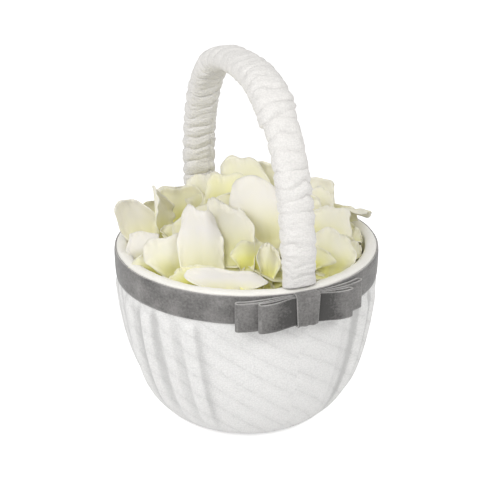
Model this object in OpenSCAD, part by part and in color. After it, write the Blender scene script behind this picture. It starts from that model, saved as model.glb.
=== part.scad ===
// Flower girl basket: a round bowl covered in quilted cloth and lined with satin,
// bound at the rim with a velvet ribbon and bow, carried by a ruched arch handle
// and filled with silk rose petals. The base stands on Z = 0 and the bow faces -Y.

/* [Bowl] */
// Radius of the flat base, outside the cover
base_r = 45; // [40:1:50]
// Radius of the cover at the rim
rim_r = 88.5; // [85:0.5:95]
// Height of the rim's edge above the floor
rim_z = 121; // [114:1:130]
// Wall of the moulded bowl
bowl_wall = 1.8; // [1.6:0.1:2.4]

/* [Cloth] */
// Thickness of the quilted cover
cover_t = 1.4; // [1.2:0.1:2]
// Height of the cover's deepest pleat
pleat_h = 4; // [1:0.5:5]
// Thickness of the wadding behind the lining
wadding_t = 3.2; // [3.1:0.1:5]
// Thickness of the lining
lining_t = 0.9; // [0.8:0.1:1.2]
// Height of the padded lip over the rim
lip_h = 3; // [2:0.2:4]
// Radius of the card under the base
base_disc_r = 40; // [34:1:40]

/* [Ribbon and bow] */
// Width of the velvet ribbon
ribbon_w = 19.5; // [15:0.5:24]
// Thickness of the velvet ribbon
ribbon_t = 1.1; // [0.8:0.1:1.4]
// Half length of the back loop, knot to tip
back_loop_len = 45; // [41:1:49]
// Half length of the front loop, knot to tip
front_loop_len = 31; // [26:1:36]
// Opening of a loop between its two layers
loop_open = 3.6; // [2.4:0.2:4]
// Width of the knot round the bow
knot_w = 14.5; // [12:0.5:18]

/* [Handle] */
// Height of the arch above the rim, on the centreline of the strip
arch_h = 124; // [115:1:135]
// Lean of the arch away from the bow, in mm for each mm of height
handle_lean = 0.06; // [0:0.01:0.08]
// Width of the strip in the handle
strip_w = 14; // [10:0.5:15]
// Thickness of the strip
strip_t = 1.8; // [1.5:0.1:1.9]
// Length of the strip's tails below the rim
tail_len = 38; // [34:1:42]
// Width of the ruched sleeve
sleeve_w = 24; // [23:0.5:27]
// Thickness of the ruched sleeve, bow side to bowl side
sleeve_t = 17; // [16:0.5:19]
// Number of gathers along the sleeve
gathers = 30; // [24:1:36]
// Height of the gathers
gather_h = 1.3; // [0.6:0.1:1.5]

/* [Petals] */
// Height of the packed petals' underside below the rim
bed_drop = 28; // [24:1:34]
// Height of the packed petals' crown above their edge
bed_crown = 19; // [17:1:22]
// Thickness of a petal
petal_t = 1; // [0.8:0.1:1.2]
// Turn of the heap of petals about the basket's axis
heap_turn = -24; // [-26:1:-22]

/* [Hidden] */
// Clearance between one layer of cloth and the next
layer_gap = 0.2;
// Clearance between pieces that are free of each other
free_gap = 0.4;
// Steps along a curved profile
profile_steps = 24;
$fn = 96;

// Depths of the layers below the outside of the cover
core_out = cover_t + layer_gap;
core_in = core_out + bowl_wall;
wadding_out = core_in + layer_gap;
wadding_in = wadding_out + wadding_t;
lining_out = wadding_in + layer_gap;
lining_in = lining_out + lining_t;

// Radii of the ribbon and of the bow's layers, from the basket's axis
ribbon_out = rim_r + free_gap + ribbon_t;
knot_in = ribbon_out + free_gap;
back_loop_r = knot_in + 1.5 * ribbon_t + layer_gap;
pinch = ribbon_t + layer_gap;
ribbon_top = rim_z + layer_gap;
degrees_per_mm = 180 / (PI * back_loop_r);
knot_half = knot_w / 2 * degrees_per_mm;
back_half = back_loop_len * degrees_per_mm;
front_half = front_loop_len * degrees_per_mm;

// Place of the handle's feet, and the slope of the tails along the bowl's wall
seat_r = bowl_r(core_in, rim_z - tail_len);
seat_sag = seat_r - sqrt(pow(seat_r, 2) - pow(strip_w / 2, 2));
seat = strip_t / 2 + seat_sag + layer_gap;
foot_y = bowl_r(core_in, rim_z) - seat;
tail_tilt = atan((bowl_r(core_in, rim_z) - seat_r) / tail_len);
arch_power = 2.6;

// Rivets through each tail
rivet_r = 1.6;
rivet_head_r = 3.2;
rivet_head_t = 0.6;
rivet_drops = [12, 28];
rivet_floor = seat + 0.55 * bowl_wall;

// Sections of the handle at the rim and clear of it
sleeve_end = [sleeve_w - 1, 11.5];
sleeve_mid = [sleeve_w, sleeve_t];
padding_end = [strip_w + 4.4, 7.5];
padding_mid = [strip_w + 5, sleeve_t - 5];
swell_len = 26;
section_power = 0.8;
strip_steps = 40;
padding_sides = 8;
sleeve_sides = 8;

// Unevenness of the gathers: their wander along the sleeve and round it, in steps from
// crest to valley, and the share of their height that varies
gather_wander = 0.3;
gather_slant = 0.25;
gather_uneven = 0.3;

// Packed petals
bed_z = rim_z - bed_drop;
bed_edge_drop = 7;
bed_edge_z = rim_z - bed_edge_drop;

// Scale that fits the heap to the rim: its flats and the list below are drawn for 88.5 mm
heap_scale = rim_r / 88.5;
bed_flat_y = heap_scale * 69;

// Petals on the heap, seen from the side that the heap is turned to: X to the right,
// Y away, both from the basket's axis. Each has the place of its base on the packed
// petals, the place of its tip with the height above the rim, its width, its taper
// (1 for a fan, -1 for a spear), the turn of its face about its length, and how far its
// edges, belly and tip stand forward.
petals = [
    [-13, -74, -12, -65, 9, 46, 0.4, 0, -3, 2, -3],
    [14, -61, 15, -49, 18, 14, 0, 0, 3, 3, 2],
    [-46, -50, -52, -38, 20, 34, 0.3, 0, -3, 3, -3],
    [-30, -56, -28, -28, 38, 26, -0.7, 6, -3, 2, -4],
    [-5, -50, -15, -16, 37, 28, -0.3, -4, -2, 2, -2],
    [-64, -24, -70, -16, 14, 23, 0, 0, -4, 3, -2],
    [54, -42, 58, -30, 21, 30, 0, 6, -4, 3, -3],
    [-46, -18, -44, -8, 15, 24, 0.4, 0, 4, -2, -3],
    [-68, -2, -79, 6, 27, 25, 0.5, 10, 5, -3, 3],
    [-56, -4, -62, 4, 37, 22, 0, 65, 5, 0, 0],
    [-8, -2, -26, 6, 28, 34, 0.5, 0, 3, 2, -3],
    [14, -26, 9, -3, 47, 38, -0.6, 0, -3, 4, -3],
    [50, -18, 58, -4, 28, 32, 0, 8, -4, 3, -4],
    [-46, 12, -46, 24, 31, 30, 0.4, 0, 5, -3, -2],
    [44, 14, 48, 24, 30, 24, 0.3, 0, -4, 3, -3],
    [-26, 19, -30, 35, 39, 26, 0.3, 0, -4, 4, -4],
    [1, 28, -5, 46, 44, 32, 0.4, 0, -4, 4, -4],
    [20, 44, 15, 58, 38, 30, 0.4, 0, -4, 3, 3],
    [56, 28, 83, 30, 14, 24, 0.6, 50, 0, -4, 2],
    [68, 2, 73, 0, 5, 18, 0, 0, -2, 2, 1],
    [38, 46, 46, 58, 24, 36, 0.3, 0, -4, 3, 3],
    [-42, 42, -50, 50, 22, 32, 0.3, 0, -5, 3, 3]
];

// Small helpers

function unit(v) = v / norm(v);
function ease(x) = let (c = min(1, max(0, x))) c * c * (3 - 2 * c);
function mix(a, b, t) = a + (b - a) * t;
function reverse(v) = [for (i = [len(v) - 1 : -1 : 0]) v[i]];
function bent(x, power) = sign(x) * pow(abs(x), power);
function wrapped(a) = a - 360 * floor((a + 180) / 360);
function polar(r, a) = [r * sin(a), -r * cos(a)];

// Two triangles for each cell of a grid of points, with or without a closing column
function grid_faces(columns, rows, closed, first, flip) =
    let (wide = closed ? columns : columns + 1)
    [for (j = [0 : rows - 1]) for (i = [0 : columns - 1])
        let (
            a = first + j * wide + i,
            b = first + j * wide + (i + 1) % wide,
            c = b + wide,
            d = a + wide
        )
        each flip ? [[a, c, b], [a, d, c]] : [[a, b, c], [a, c, d]]];

// Bowl shape: a flat base that rises in a quarter ellipse to an upright rim,
// taken at a depth below the outside of the cover

function bowl_r(depth, z) =
    base_r + (rim_r - base_r - depth) * sqrt(max(0, 1 - pow((rim_z - z) / (rim_z - depth), 2)));

function bowl_curve(depth) =
    [for (i = [0 : profile_steps])
        let (t = 90 * i / profile_steps)
        [base_r + (rim_r - base_r - depth) * cos(t), rim_z - (rim_z - depth) * sin(t)]];

module bowl_layer(outer, inner) {
    rotate_extrude()
        polygon(concat(bowl_curve(outer), [[0, outer], [0, inner]], reverse(bowl_curve(inner))));
}

// Frame of a handle tail: Y points to the basket's axis and Z up along the strip

module at_tails() {
    for (turn = [0, 180])
        rotate([0, 0, turn])
            translate([0, -foot_y, rim_z])
                rotate([tail_tilt, 0, 0])
                    children();
}

module tail_bores() {
    at_tails()
        for (drop = rivet_drops)
            translate([0, 0, -drop])
                rotate([90, 0, 0])
                    cylinder(r = rivet_r + layer_gap / 4, h = 8 * bowl_wall, center = true);
}

// Moulded bowl, with countersunk bores for the handle's rivets

module bowl_core() {
    color("tan")
    difference() {
        bowl_layer(core_out, core_in);
        tail_bores();
        at_tails()
            for (drop = rivet_drops)
                translate([0, -rivet_floor, -drop])
                    rotate([90, 0, 0])
                        cylinder(r = rivet_head_r + layer_gap, h = 4 * bowl_wall);
    }
}

// Quilted cover. Each pleat: angle from the bow at the top, drift of that angle
// towards the base, height as a share, width of its sharp and of its soft side.

pleats = [
    [-88, 2, 0.6, 3, 7],
    [-73, 1, 0.8, 3, 6],
    [-62, 4, 0.5, 2.6, 5],
    [-51, 7, 0.75, 5, 3],
    [29, -1, -0.9, 4, 3],
    [38, -2, 1, 4, 4],
    [51, -3, 0.8, 3, 5],
    [68, -2, 0.6, 4, 7]
];
cover_columns = 96;
cover_rows = 10;

// Heights over which the pleats rise out of the ribbon and die away at the base,
// and the depth to which a valley may cut in
pleat_top_fade = 12;
pleat_foot_fade = 45;
valley_limit = -0.2;

function pleat_fade(z) =
    ease((rim_z - ribbon_w - 1 - z) / pleat_top_fade) * ease(z / pleat_foot_fade);

function pleat_at(pleat, angle, z) =
    let (
        off = wrapped(angle - pleat[0] - pleat[1] * (1 - z / rim_z)),
        width = off < 0 ? pleat[3] : pleat[4]
    )
    pleat[2] * exp(-pow(off / width, 2));

function cover_swell(angle, z) =
    let (
        front = [for (p = pleats) pleat_at(p, angle, z)],
        back = [for (p = pleats) pleat_at(p, angle + 180, z)],
        all = [for (f = concat(front, back)) 1] * concat(front, back)
    )
    pleat_h * pleat_fade(z) * max(valley_limit, all);

cover_points = concat(
    [for (j = [0 : cover_rows]) for (i = [0 : cover_columns - 1])
        let (
            t = 90 * (1 - j / cover_rows),
            angle = 360 * i / cover_columns,
            z = rim_z * (1 - sin(t)),
            r = base_r + (rim_r - base_r) * cos(t) + cover_swell(angle, z),
            p = polar(r, angle)
        )
        [p[0], p[1], z]],
    [[0, 0, 0], [0, 0, rim_z]]);

cover_faces = let (
        foot = (cover_rows + 1) * cover_columns,
        top = cover_rows * cover_columns
    )
    concat(
        grid_faces(cover_columns, cover_rows, true, 0, true),
        [for (i = [0 : cover_columns - 1]) [foot, i, (i + 1) % cover_columns]],
        [for (i = [0 : cover_columns - 1]) [foot + 1, top + (i + 1) % cover_columns, top + i]]);

module outer_cover() {
    color("whitesmoke")
    difference() {
        polyhedron(cover_points, cover_faces, convexity = 6);
        rotate_extrude($fn = 288)
            polygon(concat(
                [[0, rim_z + 1], [rim_r - cover_t, rim_z + 1]],
                bowl_curve(cover_t),
                [[0, cover_t]]));
        translate([0, 0, -1])
            cylinder(r = base_disc_r + layer_gap, h = cover_t + 2);
    }
}

// Card that closes the turned-in edge of the cover, flush with it

module base_disc() {
    color("ivory")
    cylinder(r = base_disc_r, h = cover_t);
}

// Wadding, cut away round the handle's tails and the rivets' heads

module wadding() {
    slot_w = strip_w + 2 * free_gap;
    slot_t = seat + strip_t / 2 + rivet_head_t + 2 * free_gap;
    color("white")
    difference() {
        bowl_layer(wadding_out, wadding_in);
        at_tails()
            translate([-slot_w / 2, -seat - free_gap, -tail_len - free_gap])
                cube([slot_w, slot_t, tail_len + 4]);
    }
}

// Lining with the lip that rolls over the rim, slit for the handle's strip

module inner_lining() {
    lip_z = rim_z + layer_gap;
    lip_mid = rim_r - lining_in / 2;
    slit = [strip_w + 2 * free_gap, strip_t + 2 * free_gap, 3 * lip_h];
    color("ivory")
    difference() {
        union() {
            bowl_layer(lining_out, lining_in);
            rotate_extrude()
                polygon(concat(
                    [[rim_r - lining_in, rim_z - 1], [rim_r - lining_out, rim_z - 1]],
                    [[rim_r - lining_out, lip_z]],
                    [for (i = [0 : profile_steps])
                        let (a = 180 * i / profile_steps)
                        [lip_mid + lining_in / 2 * cos(a), lip_z + lip_h * sin(a)]]));
        }
        for (side = [-1, 1])
            translate([-slit[0] / 2, side * foot_y - slit[1] / 2, rim_z - 0.5])
                cube(slit);
    }
}

// Velvet ribbon round the rim, its ends meeting behind the knot

module ribbon_band() {
    steps = 6;
    seam = 0.3;
    heights = [for (i = [0 : steps]) ribbon_top - ribbon_w * i / steps];
    color("darkgray")
    rotate([0, 0, -90 + seam / 2])
        rotate_extrude(angle = 360 - seam)
            polygon(concat(
                [for (z = heights) [bowl_r(-free_gap, z), z]],
                reverse([for (z = heights) [bowl_r(-free_gap - ribbon_t, z), z]])));
}

// Bow: two closed loops of ribbon, the short one on the long one, pinched by the knot.
// Angles are taken round the basket's axis from the middle of the bow.

function loop_gap(a, half) =
    pinch + (loop_open - pinch) * ease((abs(a) - knot_half) / (half - knot_half) * 1.6);

function loop_inner(a, rides) =
    back_loop_r + (rides ? loop_gap(a, back_half) + ribbon_t + free_gap : 0);

function loop_tip(a, half, rides, turn) =
    let (
        gap = loop_gap(a, half),
        mid = polar(loop_inner(a, rides) + gap / 2, a),
        along = sign(a) * [cos(a), sin(a)],
        out = polar(1, a)
    )
    mid + gap / 2 * (cos(turn) * along + sin(turn) * out);

function loop_line(half, rides) =
    let (
        steps = 28,
        reach = half - loop_open / 2 * degrees_per_mm,
        angles = [for (i = [0 : steps]) mix(-reach, reach, i / steps)],
        turns = [60, 30, 0, -30, -60]
    )
    concat(
        [for (a = angles) polar(loop_inner(a, rides) + loop_gap(a, half), a)],
        [for (b = turns) loop_tip(reach, half, rides, b)],
        reverse([for (a = angles) polar(loop_inner(a, rides), a)]),
        reverse([for (b = turns) loop_tip(-reach, half, rides, b)]));

function line_offset(line, by) =
    [for (i = [0 : len(line) - 1])
        let (
            n = len(line),
            along = unit(line[(i + 1) % n] - line[(i + n - 1) % n])
        )
        line[i] + by * [along[1], -along[0]]];

module bow_loop(half, rides) {
    line = loop_line(half, rides);
    n = len(line);
    translate([0, 0, ribbon_top - ribbon_w])
        linear_extrude(height = ribbon_w)
            polygon(
                concat(line_offset(line, ribbon_t / 2), line_offset(line, -ribbon_t / 2)),
                [[for (i = [0 : n - 1]) i], [for (i = [0 : n - 1]) n + i]]);
}

module bow_back_loop() {
    color("darkgray")
    bow_loop(back_half, false);
}

module bow_front_loop() {
    color("darkgray")
    bow_loop(front_half, true);
}

function round_box(low, high, r) =
    [for (corner = [[1, 1, 0], [0, 1, 90], [0, 0, 180], [1, 0, 270]])
        for (a = [0 : 15 : 90])
            let (x = corner[0] ? high[0] - r : low[0] + r, y = corner[1] ? high[1] - r : low[1] + r)
            [x + r * cos(corner[2] + a), y + r * sin(corner[2] + a)]];

module bow_knot() {
    stack = 2 * pinch + 2 * ribbon_t + free_gap + 2 * layer_gap;
    low = [knot_in, ribbon_top - ribbon_w - ribbon_t - free_gap];
    high = [knot_in + stack + 2 * ribbon_t, ribbon_top + ribbon_t + free_gap];
    wall = [ribbon_t, ribbon_t];
    color("gray")
    rotate([0, 0, -90 - knot_half])
        rotate_extrude(angle = 2 * knot_half)
            difference() {
                polygon(round_box(low, high, 1.6));
                polygon(round_box(low + wall, high - wall, 0.4));
            }
}

// Handle centreline: an arch from foot to foot, as [Y, Z] along its length

arch_steps = 180;

arch_line = [for (i = [0 : arch_steps])
    let (
        a = 180 * i / arch_steps,
        y = -foot_y * bent(cos(a), 2 / arch_power),
        h = arch_h * pow(sin(a), 2 / arch_power)
    )
    [y + handle_lean * h, rim_z + h]];

arch_lengths = [for (i = 0, s = 0; i <= arch_steps;
    s = s + (i < arch_steps ? norm(arch_line[i + 1] - arch_line[i]) : 0), i = i + 1) s];

arch_y = [for (i = [0 : arch_steps]) [arch_lengths[i], arch_line[i][0]]];
arch_z = [for (i = [0 : arch_steps]) [arch_lengths[i], arch_line[i][1]]];
arch_len = arch_lengths[arch_steps];
sleeve_start = lip_h + layer_gap + 2 * free_gap;
sleeve_len = arch_len - 2 * sleeve_start;

function arch_at(s) = [lookup(s, arch_y), lookup(s, arch_z)];
function arch_out(s) =
    let (d = unit(arch_at(s + 1) - arch_at(s - 1)))
    [-d[1], d[0]];

// Share of the full section at a place on the sleeve, 0 at the rim and 1 clear of it
function swell(s) = ease((min(s, arch_len - s) - sleeve_start) / swell_len);

// A point of a rounded section round the handle's centreline
function around(s, across, out) =
    let (c = arch_at(s) + out * arch_out(s))
    [across, c[0], c[1]];

function rounded(size, q) =
    [size[0] / 2 * bent(cos(q), section_power), size[1] / 2 * bent(sin(q), section_power)];

function boxed(size, q) =
    let (m = max(abs(cos(q)), abs(sin(q))))
    [size[0] / 2 * cos(q) / m, size[1] / 2 * sin(q) / m];

// A tube of rings with a bore: outer rings first, then the bore's rings
module tube(outer, bore, sides, rings) {
    inner = rings * sides;
    last = (rings - 1) * sides;
    polyhedron(
        concat(outer, bore),
        concat(
            grid_faces(sides, rings - 1, true, 0, false),
            grid_faces(sides, rings - 1, true, inner, true),
            [for (j = [0 : sides - 1])
                let (a = j, b = (j + 1) % sides)
                each [[a, inner + b, b], [a, inner + a, inner + b]]],
            [for (j = [0 : sides - 1])
                let (a = last + j, b = last + (j + 1) % sides)
                each [[a, b, inner + b], [a, inner + b, inner + a]]]),
        convexity = 6);
}

// Strip in the handle, drawn from its side and given its width

function strip_places() = [for (i = [0 : strip_steps]) mix(0, arch_len, i / strip_steps)];

module handle_core() {
    places = strip_places();
    drop = tail_len * [sin(tail_tilt), -cos(tail_tilt)];
    near = arch_at(0) + drop;
    far = arch_at(arch_len) + [-drop[0], drop[1]];
    lean = [cos(tail_tilt), sin(tail_tilt)] * strip_t / 2;
    outside = [for (s = places) arch_at(s) + strip_t / 2 * arch_out(s)];
    inside = [for (s = places) arch_at(s) - strip_t / 2 * arch_out(s)];
    color("burlywood")
    difference() {
        rotate([90, 0, 90])
            linear_extrude(height = strip_w, center = true)
                polygon(concat(
                    [near - lean],
                    outside,
                    [far + [lean[0], -lean[1]], far - [lean[0], -lean[1]]],
                    reverse(inside),
                    [near + lean]));
        tail_bores();
    }
}

// Wadding round the strip

module handle_padding() {
    rings = strip_steps - 1;
    places = [for (i = [0 : rings - 1])
        i == 0 ? sleeve_start : i == rings - 1 ? arch_len - sleeve_start
            : mix(0, arch_len, (i + 1) / strip_steps)];
    bore = [strip_w + 2 * free_gap, strip_t + 2 * free_gap];
    color("white")
    tube(
        [for (s = places) for (j = [0 : padding_sides - 1])
            let (p = rounded(mix(padding_end, padding_mid, swell(s)), 360 * j / padding_sides))
            around(s, p[0], p[1])],
        [for (s = places) for (j = [0 : padding_sides - 1])
            let (p = boxed(bore, 360 * j / padding_sides))
            around(s, p[0], p[1])],
        padding_sides, rings);
}

// Ruched sleeve: a ring on each crest and in each valley of the gathers, both uneven

module handle_sleeve() {
    rings = 2 * gathers + 1;
    last = rings - 1;
    bore_gap = 2 * free_gap * [1, 1];
    color("whitesmoke")
    tube(
        [for (k = [0 : last]) for (j = [0 : sleeve_sides - 1])
            let (
                q = 360 * j / sleeve_sides,
                inner = k > 0 && k < last,
                wander = inner ? gather_wander * sin(137 * k) + gather_slant * sin(2 * q + 50 * k) : 0,
                s = sleeve_start + sleeve_len * (k + wander) / last,
                share = 1 - gather_uneven * (1 - sin(61 * k + q)),
                rise = inner ? (k % 2 == 0 ? -1 : 1) * gather_h * share : 0,
                size = mix(sleeve_end, sleeve_mid, swell(s)) + [1, 1] * (rise - gather_h),
                p = rounded(size, q)
            )
            around(s, p[0], p[1])],
        [for (k = [0 : last]) for (j = [0 : sleeve_sides - 1])
            let (
                s = sleeve_start + sleeve_len * k / last,
                p = rounded(mix(padding_end, padding_mid, swell(s)) + bore_gap, 360 * j / sleeve_sides)
            )
            around(s, p[0], p[1])],
        sleeve_sides, rings);
}

// Rivets: a dome-headed shank from inside the strip to a head sunk in the bowl's wall

module handle_rivets() {
    color("silver")
    at_tails()
        for (drop = rivet_drops)
            translate([0, strip_t / 2 + layer_gap / 4, -drop])
                rotate([90, 0, 0]) {
                    shank = strip_t / 2 + layer_gap / 4 + rivet_floor + layer_gap / 4;
                    cylinder(r = rivet_r, h = shank);
                    translate([0, 0, -rivet_head_t])
                        cylinder(r = rivet_head_r, h = rivet_head_t);
                    translate([0, 0, shank - layer_gap / 4])
                        cylinder(r = rivet_head_r, h = 0.3 * bowl_wall);
                }
}

// Packed petals: flat below, a low dome above, drawn in at the handle's feet

function bed_side(z) = bowl_r(lining_in, z) - free_gap;
bed_r = bed_side(bed_edge_z);
function bed_top(r) = bed_edge_z + bed_crown * (1 - pow(r / bed_r, 2));

module petal_bed() {
    dome_steps = 14;
    color("khaki")
    intersection() {
        rotate_extrude()
            polygon(concat(
                [[0, bed_z], [bed_side(bed_z), bed_z]],
                [for (i = [0 : dome_steps])
                    let (r = bed_r * (1 - i / dome_steps))
                    [r, bed_top(r)]]));
        translate([-rim_r, -bed_flat_y, 0])
            cube([2 * rim_r, 2 * bed_flat_y, 2 * rim_z]);
    }
}

// Single petals, from the list above

petal_cells = [6, 5];
petal_wave = 1.2;

// Shape of a petal as shares: half width at the base and at the tip of an even petal with
// how much taper changes them, place of the greatest width, and rounding of the tip
petal_foot = 0.6;
petal_foot_taper = -0.4;
petal_top = 0.8;
petal_top_taper = 0.2;
petal_broad = 0.7;
petal_round = 0.1;
petal_corner = 0.12;

function petal_name(i) = str("petal_", i < 9 ? "0" : "", i + 1);

// A petal of the list with its places and its width fitted to this rim
function fitted(p) = concat(
    heap_scale * [p[0], p[1], p[2], p[3]],
    [p[4], heap_scale * p[5]],
    [for (k = [6 : len(p) - 1]) p[k]]);

// Half width along a petal as a share of its greatest
function petal_start(taper) = petal_foot + petal_foot_taper * taper;
function petal_outline(taper, v) =
    mix(petal_start(taper), 1, sin(90 * min(1, v / petal_broad)))
        * mix(1, petal_top + petal_top_taper * taper, ease(2 * v - 1));

function on_bed(x, y) = [x, y, bed_top(norm([x, y]))];
function petal_tip(p) = [p[2], p[3], rim_z + p[4]];

// Directions of a petal: along its length, across its face and out of its face
function petal_axes(p) =
    let (
        along = unit(petal_tip(p) - on_bed(p[0], p[1])),
        side = unit(cross([0, -1, 0], along)),
        across = cos(p[7]) * side + sin(p[7]) * cross(along, side)
    )
    [along, across, cross(along, across)];

// Base of a petal, raised until both its corners clear the packed petals
function petal_base(p) =
    let (
        middle = on_bed(p[0], p[1]),
        reach = petal_start(p[6]) * p[5] / 2 * petal_axes(p)[1],
        rises = [for (corner = [middle - reach, middle, middle + reach])
            on_bed(corner[0], corner[1])[2] - corner[2]]
    )
    middle + [0, 0, max(rises) + petal_t / 2 + layer_gap];

function petal_middle(p, u, v) =
    let (
        axes = petal_axes(p),
        half = petal_outline(p[6], v) * p[5] / 2,
        share = v * (1 - petal_round * u * u - petal_corner * pow(u, 6)),
        wave = petal_wave * v * v * sin(300 * u + 7 * p[0]),
        edges = p[8] * u * u * mix(0.3, 1, v),
        forward = edges + p[9] * 4 * v * (1 - v) + p[10] * pow(v, 3)
    )
    mix(petal_base(p), petal_tip(p), share) + u * half * axes[1] + (forward + wave) * axes[2];

function petal_normal(p, u, v) =
    let (e = 0.01)
    unit(cross(
        petal_middle(p, u + e, v) - petal_middle(p, u - e, v),
        petal_middle(p, u, v + e) - petal_middle(p, u, v - e)));

function petal_layer(p, side) =
    [for (j = [0 : petal_cells[1]]) for (i = [0 : petal_cells[0]])
        let (u = 2 * i / petal_cells[0] - 1, v = mix(0.01, 0.99, j / petal_cells[1]))
        petal_middle(p, u, v) + side * petal_t / 2 * petal_normal(p, u, v)];

petal_rim = let (c = petal_cells[0], r = petal_cells[1], w = c + 1)
    concat(
        [for (i = [0 : c - 1]) i],
        [for (j = [0 : r - 1]) j * w + c],
        [for (i = [c : -1 : 1]) r * w + i],
        [for (j = [r : -1 : 1]) j * w]);

module petal(i) {
    count = (petal_cells[0] + 1) * (petal_cells[1] + 1);
    edge = len(petal_rim);
    p = fitted(petals[i]);
    color("lightyellow")
    rotate([0, 0, heap_turn])
        polyhedron(
            concat(petal_layer(p, 1), petal_layer(p, -1)),
            concat(
                grid_faces(petal_cells[0], petal_cells[1], false, 0, true),
                grid_faces(petal_cells[0], petal_cells[1], false, count, false),
                [for (k = [0 : edge - 1])
                    let (a = petal_rim[k], b = petal_rim[(k + 1) % edge])
                    each [[a, b, count + b], [a, count + b, count + a]]]),
            convexity = 4);
}

bowl_core();
outer_cover();
base_disc();
wadding();
inner_lining();
ribbon_band();
bow_back_loop();
bow_front_loop();
bow_knot();
handle_core();
handle_padding();
handle_sleeve();
handle_rivets();
petal_bed();
for (i = [0 : len(petals) - 1])
    petal(i);
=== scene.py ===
# Flower girl basket: quilted cloth bowl with a velvet ribbon, a ruched handle and silk petals.
# Sizes are in millimetres and degrees, as in the part's source, and the meshes are made in metres.

import bisect
import math
import random
from collections import namedtuple

import bmesh
import bpy
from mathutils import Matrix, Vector, noise


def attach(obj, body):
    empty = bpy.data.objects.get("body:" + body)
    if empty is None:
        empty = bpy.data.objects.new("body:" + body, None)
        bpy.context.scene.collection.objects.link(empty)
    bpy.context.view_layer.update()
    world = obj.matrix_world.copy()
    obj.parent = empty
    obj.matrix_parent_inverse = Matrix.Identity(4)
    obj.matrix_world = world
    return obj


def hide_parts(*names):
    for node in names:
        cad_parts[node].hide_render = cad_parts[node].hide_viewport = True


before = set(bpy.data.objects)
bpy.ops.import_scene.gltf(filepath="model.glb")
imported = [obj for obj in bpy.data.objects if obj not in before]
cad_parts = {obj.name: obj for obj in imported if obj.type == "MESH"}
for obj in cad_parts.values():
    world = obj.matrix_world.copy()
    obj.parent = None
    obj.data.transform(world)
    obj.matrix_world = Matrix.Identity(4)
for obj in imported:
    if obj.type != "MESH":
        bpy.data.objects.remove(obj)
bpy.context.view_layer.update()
MM = 0.001

# Moulded bowl
# Hidden shell that gives the cloth its shape, pressed from coarse tan pulp.
# The solid stays as it is and gets a speckled, slightly rough material.

pulp_dark = (0.38, 0.3, 0.19)
pulp_light = (0.52, 0.43, 0.29)
pulp_grain = 3
pulp_depth = 0.3


def new_paint(name, color, roughness):
    """A plain material and its shader."""
    paint = bpy.data.materials.new(name)
    paint.use_nodes = True
    shader = paint.node_tree.nodes["Principled BSDF"]
    shader.inputs["Base Color"].default_value = (*color, 1)
    shader.inputs["Roughness"].default_value = roughness
    return paint, shader


def add(owner, kind, inputs, **settings):
    """A new node of a material or world, its inputs set to values or joined to other nodes."""
    made = owner.node_tree.nodes.new(kind)
    for name, value in settings.items():
        setattr(made, name, value)
    for name, value in inputs.items():
        if isinstance(value, bpy.types.NodeSocket):
            owner.node_tree.links.new(value, made.inputs[name])
        else:
            made.inputs[name].default_value = value
    return made


def place_on(paint, which):
    """Place on a piece: along its weave for UV, in its own axes for Object."""
    return add(paint, "ShaderNodeTexCoord", {}).outputs[which]


def color_between(paint, shader, factor, low, high, start=0.0, end=1.0):
    """Color a shader from low to high while a factor runs from start to end."""
    made = add(paint, "ShaderNodeValToRGB", {"Fac": factor})
    made.color_ramp.elements[0].position = start
    made.color_ramp.elements[0].color = (*low, 1)
    made.color_ramp.elements[1].position = end
    made.color_ramp.elements[1].color = (*high, 1)
    paint.node_tree.links.new(made.outputs["Color"], shader.inputs["Base Color"])
    return made.color_ramp


def raise_by(paint, shader, height, depth):
    """Make a shader's surface look raised by a height of 0 to 1 times the depth."""
    bump = add(paint, "ShaderNodeBump", {"Height": height, "Distance": MM * depth})
    paint.node_tree.links.new(bump.outputs["Normal"], shader.inputs["Normal"])


def dress(piece, paint):
    """Give a piece this material alone."""
    piece.data.materials.clear()
    piece.data.materials.append(paint)


def speckled_paint(name, low, high, grain, depth):
    """Matt fibrous stuff between two shades, with lumps of a size and depth."""
    paint, shader = new_paint(name, high, roughness=0.85)
    fibre = add(paint, "ShaderNodeTexNoise", {
        "Vector": place_on(paint, "Object"),
        "Scale": 1 / (MM * grain),
        "Detail": 4,
        "Roughness": 0.65})
    color_between(paint, shader, fibre.outputs["Fac"], low, high, start=0.35, end=0.65)
    raise_by(paint, shader, fibre.outputs["Fac"], depth)
    return paint


pulp_paint = speckled_paint("moulded_pulp", pulp_dark, pulp_light, pulp_grain, pulp_depth)
dress(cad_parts["bowl_core"], pulp_paint)

# Card under the base
# Round white card that closes the turned-in edge of the cover, flush with it.
# The solid stays and gets a fine paper grain.

card_dark = (0.74, 0.73, 0.69)
card_light = (0.82, 0.81, 0.78)
card_grain = 1.5
card_depth = 0.1

card_paint = speckled_paint("white_card", card_dark, card_light, card_grain, card_depth)
dress(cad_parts["base_disc"], card_paint)

# Wadding in the wall
# Loose polyester fill between the bowl and the lining, hidden by both.
# A turned layer with a lumpy surface; it rides in the basket.

base_radius = 45
rim_radius = 88.5
rim_height = 121
wall_weave_per_degree = 1.3
wadding_depths = (3.7, 6.6)
wadding_rows = 30
wadding_columns = 120
lump_height = 0.25
lump_count = 60
fill_dark = (0.78, 0.78, 0.77)
fill_light = (0.86, 0.86, 0.85)
fill_grain = 4
fill_depth = 0.8


def bowl_point(depth, steep):
    """Radius and height at a depth below the bowl's outside; steep is 0 at the rim, 90 at the base."""
    wide = (rim_radius - base_radius - depth) * math.cos(math.radians(steep))
    return base_radius + wide, rim_height - (rim_height - depth) * math.sin(math.radians(steep))


def turned(radius, angle):
    """Place at an angle round the basket's axis, counted from the bow."""
    return radius * math.sin(math.radians(angle)), -radius * math.cos(math.radians(angle))


def rough(x, y, z=0.0):
    """Smooth unevenness from -1 to 1."""
    return noise.noise(Vector((x, y, z)))


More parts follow.
